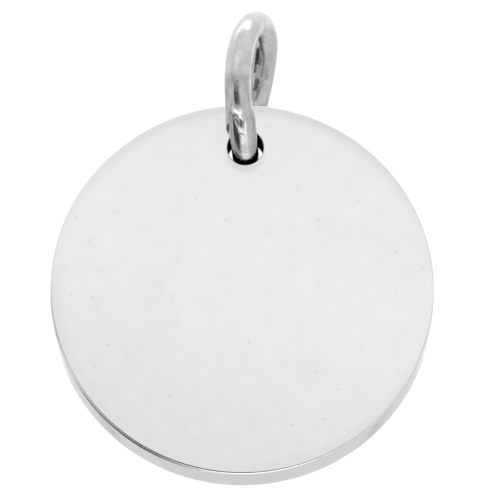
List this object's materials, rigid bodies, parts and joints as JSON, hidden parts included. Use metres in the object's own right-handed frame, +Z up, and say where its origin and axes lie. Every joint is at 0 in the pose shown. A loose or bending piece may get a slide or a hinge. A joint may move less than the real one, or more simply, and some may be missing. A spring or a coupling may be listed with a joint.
{
  "type": "disc pendant",
  "caption": "Thick, plain round metal disc with polished faces, hung through a hole near its edge from a heavy round-wire jump ring that takes a chain.",
  "frame": {"origin": "inside top of the jump ring, where a chain bears", "axes": "+Z up, the way the pendant hangs; -Y out of the disc's front face; +X to the viewer's right"},
  "size_m": [0.015, 0.0064, 0.019],
  "materials": {
    "polished_steel": "mirror-polished stainless steel",
    "ring_wire": "bright drawn stainless steel wire, tumbled, with fine tool marks"
  },
  "bodies": {
    "jump_ring": {"jump_ring": "ring_wire"},
    "disc": {"disc": "polished_steel"}
  },
  "joints": [
    {"name": "disc_swing", "type": "hinge", "parent": "jump_ring", "child": "disc", "pos_m": [-0.0005, 0, -0.00473], "axis": [0, 1, 0], "range_deg": [-74, 84]}
  ]
}
